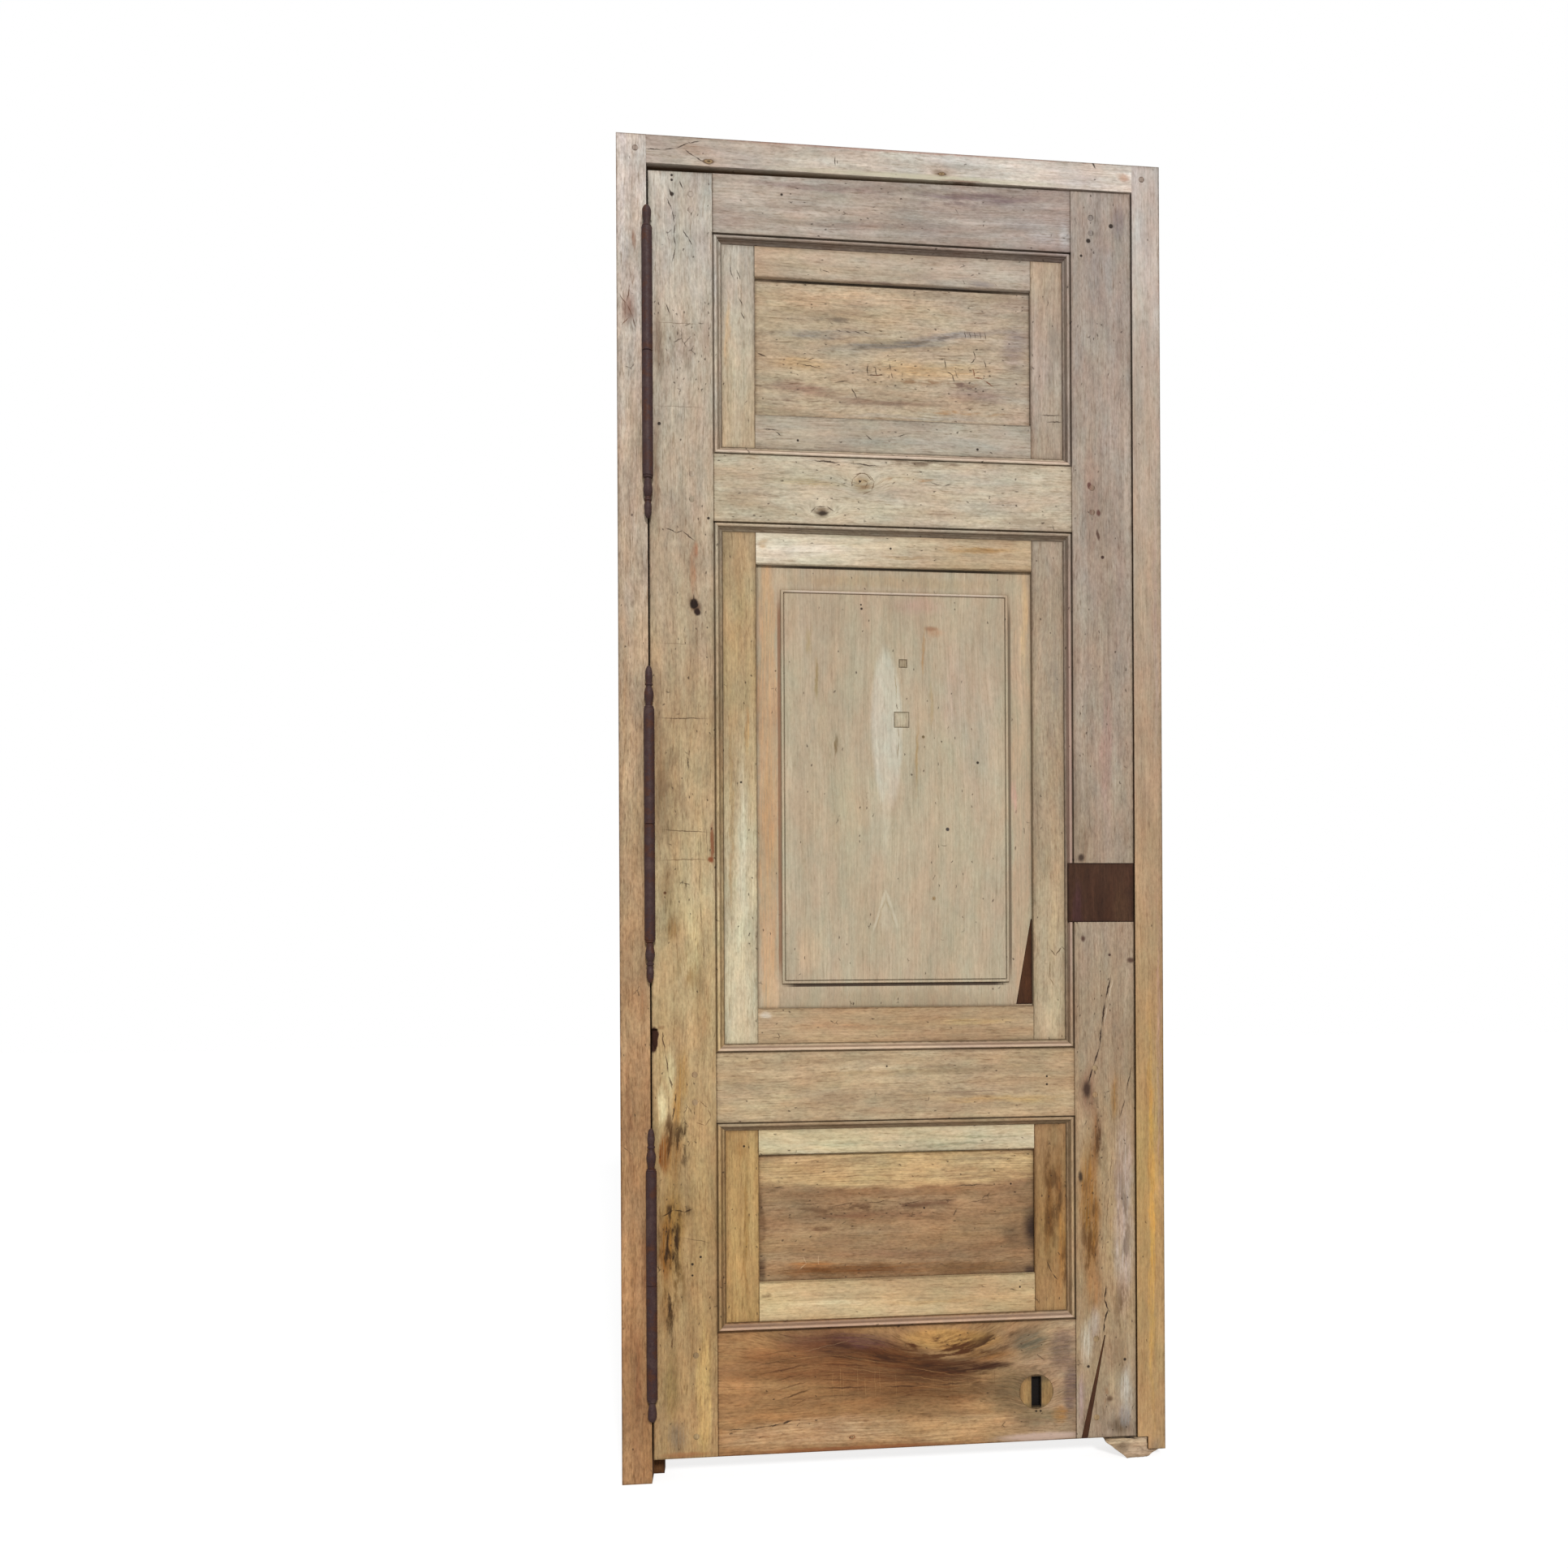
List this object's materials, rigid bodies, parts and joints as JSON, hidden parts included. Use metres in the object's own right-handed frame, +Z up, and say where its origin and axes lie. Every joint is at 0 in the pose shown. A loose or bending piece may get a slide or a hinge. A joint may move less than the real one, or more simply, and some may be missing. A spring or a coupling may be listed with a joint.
{
  "type": "panelled door in its frame",
  "caption": "Old stripped walnut door leaf with moulded frame-and-panel work, hung on long turned iron barrel hinges in a rebated wooden frame; opens towards the seen face.",
  "frame": {"origin": "on the floor under the middle of the overall box", "axes": "+Z up, +X towards the lock jamb, -Y towards the face that is seen"},
  "size_m": [0.946, 0.0844, 2.286],
  "materials": {
    "leaf_walnut": "stripped and bleached old walnut, dry and matt",
    "frame_walnut": "stripped old walnut, warmer brown, dry and matt",
    "repair_walnut": "dark reddish walnut let in as repairs",
    "peg_wood": "dull brown pegs and plugs",
    "hinge_iron": "dark purple-brown oxidised wrought iron"
  },
  "bodies": {
    "frame": {"hinge_jamb": "frame_walnut", "lock_jamb": "frame_walnut", "head": "frame_walnut", "sill_end": "frame_walnut", "frame_pegs": "peg_wood", "frame_wing_screws": "hinge_iron", "top_hinge_frame_knuckle": "hinge_iron", "top_hinge_pin": "hinge_iron", "top_hinge_lower_finial": "hinge_iron", "middle_hinge_frame_knuckle": "hinge_iron", "middle_hinge_pin": "hinge_iron", "middle_hinge_lower_finial": "hinge_iron", "bottom_hinge_frame_knuckle": "hinge_iron", "bottom_hinge_pin": "hinge_iron", "bottom_hinge_lower_finial": "hinge_iron"},
    "leaf": {"hinge_stile": "leaf_walnut", "lock_stile": "leaf_walnut", "top_rail": "leaf_walnut", "frieze_rail": "leaf_walnut", "lower_rail": "leaf_walnut", "bottom_rail": "leaf_walnut", "leaf_pegs": "peg_wood", "upper_strip_left": "leaf_walnut", "upper_strip_right": "leaf_walnut", "upper_strip_over": "leaf_walnut", "upper_strip_under": "leaf_walnut", "middle_strip_left": "leaf_walnut", "middle_strip_right": "leaf_walnut", "middle_strip_over": "leaf_walnut", "middle_strip_under": "leaf_walnut", "lower_strip_left": "leaf_walnut", "lower_strip_right": "leaf_walnut", "lower_strip_over": "leaf_walnut", "lower_strip_under": "leaf_walnut", "upper_panel": "leaf_walnut", "middle_panel": "leaf_walnut", "lower_panel": "leaf_walnut", "lock_patch": "repair_walnut", "stile_fillet": "repair_walnut", "panel_fillet": "repair_walnut", "small_plug": "peg_wood", "large_plug": "peg_wood", "round_plug": "peg_wood", "leaf_wing_screws": "hinge_iron", "top_hinge_leaf_knuckle": "hinge_iron", "top_hinge_upper_finial": "hinge_iron", "middle_hinge_leaf_knuckle": "hinge_iron", "middle_hinge_upper_finial": "hinge_iron", "bottom_hinge_leaf_knuckle": "hinge_iron", "bottom_hinge_upper_finial": "hinge_iron"}
  },
  "joints": [
    {"name": "leaf_swing", "type": "hinge", "parent": "frame", "child": "leaf", "pos_m": [-0.4215, -0.03325, 0], "axis": [0, 0, -1], "range_deg": [0, 170]}
  ]
}
